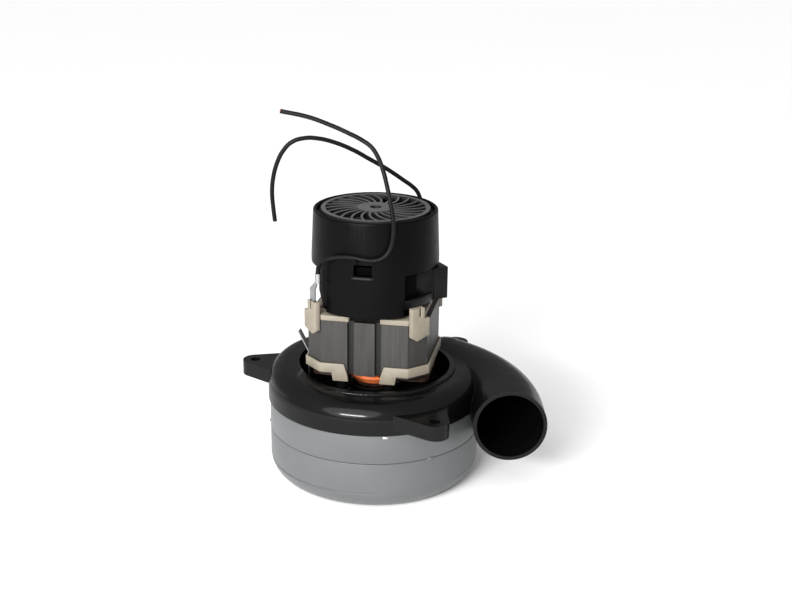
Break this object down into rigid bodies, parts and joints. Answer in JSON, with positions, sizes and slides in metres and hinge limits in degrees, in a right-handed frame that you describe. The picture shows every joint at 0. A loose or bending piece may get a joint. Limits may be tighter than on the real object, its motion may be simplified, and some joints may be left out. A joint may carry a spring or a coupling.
{
  "type": "vacuum motor unit",
  "caption": "Two-stage vacuum motor: round fan case with a tangential outlet horn and fixing ears, open field stack and a covered cooling fan.",
  "frame": {"origin": "centre of the inlet eye, on the motor axis at the level of the inlet face", "axes": "+Z along the motor axis towards the cooling cover, -Y the way the outlet horn blows, +X towards the horn"},
  "size_m": [0.2079, 0.1636, 0.2594],
  "materials": {
    "case_paint": "satin grey paint",
    "black_moulding": "semi-gloss black moulding",
    "grey_moulding": "dark grey moulding",
    "laminations": "stacked steel sheet",
    "cream_insulator": "cream moulding",
    "coil_varnish": "dark brown varnished copper",
    "copper_wire": "bare-looking enamelled copper",
    "steel": "ground steel",
    "fan_sheet": "pressed sheet",
    "brass_tube": "drawn brass",
    "carbon": "pressed carbon",
    "tinned_terminal": "tinned",
    "lead_sleeve": "smooth black sleeve"
  },
  "bodies": {
    "motor_body": {"inlet_shell": "case_paint", "upper_shell": "case_paint", "diffuser": "fan_sheet", "fan_bracket": "black_moulding", "field_core": "laminations", "lower_insulator": "cream_insulator", "upper_insulator": "cream_insulator", "left_field_coil": "coil_varnish", "right_field_coil": "coil_varnish", "left_coil_wire": "coil_varnish", "right_coil_wire": "coil_varnish", "commutator_bracket": "black_moulding", "fan_cover": "black_moulding", "intake_grille": "grey_moulding", "terminal_box": "black_moulding", "terminal_box_lid": "black_moulding", "lead_terminal": "tinned_terminal", "rear_lead_terminal": "tinned_terminal", "earth_tab": "tinned_terminal", "through_screws": "steel", "lower_bearing_outer_ring": "steel", "upper_bearing_outer_ring": "steel", "front_brush_tube": "brass_tube", "rear_brush_tube": "brass_tube", "front_brush_cap": "black_moulding", "rear_brush_cap": "black_moulding", "front_brush_spring": "steel", "rear_brush_spring": "steel", "lead_wire_front": "lead_sleeve", "lead_wire_rear": "lead_sleeve"},
    "rotor": {"shaft": "steel", "first_stage_fan": "fan_sheet", "second_stage_fan": "fan_sheet", "fan_spacer": "steel", "bearing_spacer": "steel", "fan_washer": "steel", "fan_nut": "steel", "lower_bearing_inner_ring": "steel", "lower_bearing_balls": "steel", "upper_bearing_inner_ring": "steel", "upper_bearing_balls": "steel", "armature_core": "laminations", "armature_winding": "copper_wire", "armature_end_turns": "copper_wire", "commutator": "copper_wire", "cooling_fan": "grey_moulding"},
    "front_brush": {"front_carbon_brush": "carbon"},
    "rear_brush": {"rear_carbon_brush": "carbon"}
  },
  "joints": [
    {"name": "rotor_spin", "type": "hinge", "parent": "motor_body", "child": "rotor", "pos_m": [0, 0, 0.1], "axis": [0, 0, 1], "continuous": true},
    {"name": "front_brush_slide", "type": "slide", "parent": "motor_body", "child": "front_brush", "axis": [-0.1908, -0.9816, 0], "range_m": [0, 0.003], "stiffness_N_per_m": 300, "springref_m": -0.005, "deforming": ["front_brush_spring"]},
    {"name": "rear_brush_slide", "type": "slide", "parent": "motor_body", "child": "rear_brush", "axis": [0.1908, 0.9816, 0], "range_m": [0, 0.003], "stiffness_N_per_m": 300, "springref_m": -0.005, "deforming": ["rear_brush_spring"]}
  ]
}
